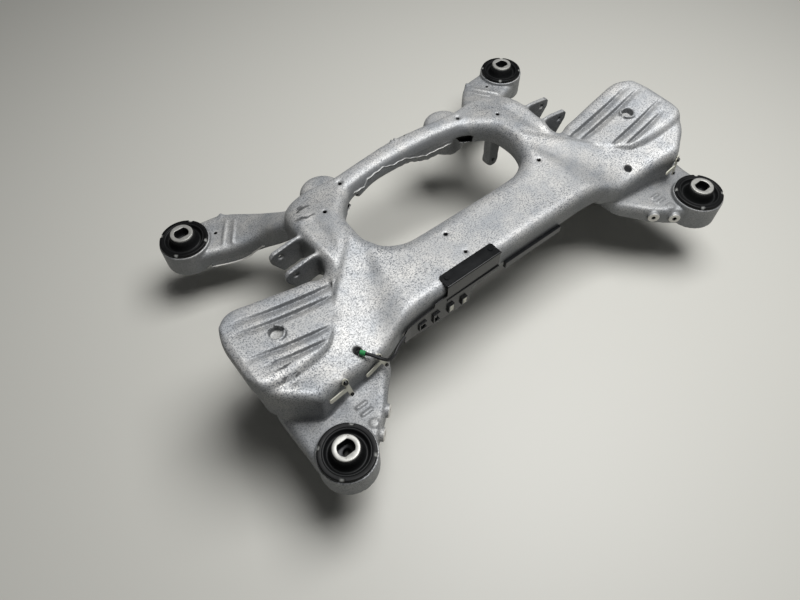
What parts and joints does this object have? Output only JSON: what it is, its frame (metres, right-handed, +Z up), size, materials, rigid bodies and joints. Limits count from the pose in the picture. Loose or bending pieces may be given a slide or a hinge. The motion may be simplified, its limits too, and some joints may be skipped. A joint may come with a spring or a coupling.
{
  "type": "rear subframe",
  "caption": "Cast aluminium car rear subframe: ring-shaped frame with ribbed spring seats, arms ending in rubber body bushes, link ears and cable holders.",
  "frame": {"origin": "on the ground below the middle of the frame, halfway between the front and rear body bolts", "axes": "+X to the right of the frame, +Y from the front bolts to the rear bolts, +Z up from the ground"},
  "size_m": [1.212, 0.805, 0.3219],
  "materials": {
    "cast_aluminium": "shot-blasted as-cast",
    "bush_flange": "satin black",
    "bush_rubber": "moulded",
    "sleeve_aluminium": "machined, lightly marked",
    "holder_plastic": "moulded",
    "cream_plastic": "moulded",
    "lead_sheath": "extruded sheath",
    "green_tape": "tape"
  },
  "bodies": {
    "root": {"frame_casting": "cast_aluminium", "bush_shell_front_left": "bush_flange", "bush_rubber_front_left": "bush_rubber", "bush_sleeve_front_left": "sleeve_aluminium", "bush_shell_front_right": "bush_flange", "bush_rubber_front_right": "bush_rubber", "bush_sleeve_front_right": "sleeve_aluminium", "bush_shell_rear_left": "bush_flange", "bush_rubber_rear_left": "bush_rubber", "bush_sleeve_rear_left": "sleeve_aluminium", "bush_shell_rear_right": "bush_flange", "bush_rubber_rear_right": "bush_rubber", "bush_sleeve_rear_right": "sleeve_aluminium", "cable_bracket": "holder_plastic", "bracket_rivets": "holder_plastic", "bracket_clips": "cream_plastic", "cable_duct": "holder_plastic", "edge_clip_left_outer": "cream_plastic", "edge_clip_left_inner": "cream_plastic", "edge_clip_right": "cream_plastic", "push_plugs_left_outer": "holder_plastic", "push_plugs_left_inner": "holder_plastic", "push_plugs_right": "holder_plastic", "sensor_lead": "lead_sheath", "lead_band": "green_tape"}
  },
  "joints": []
}
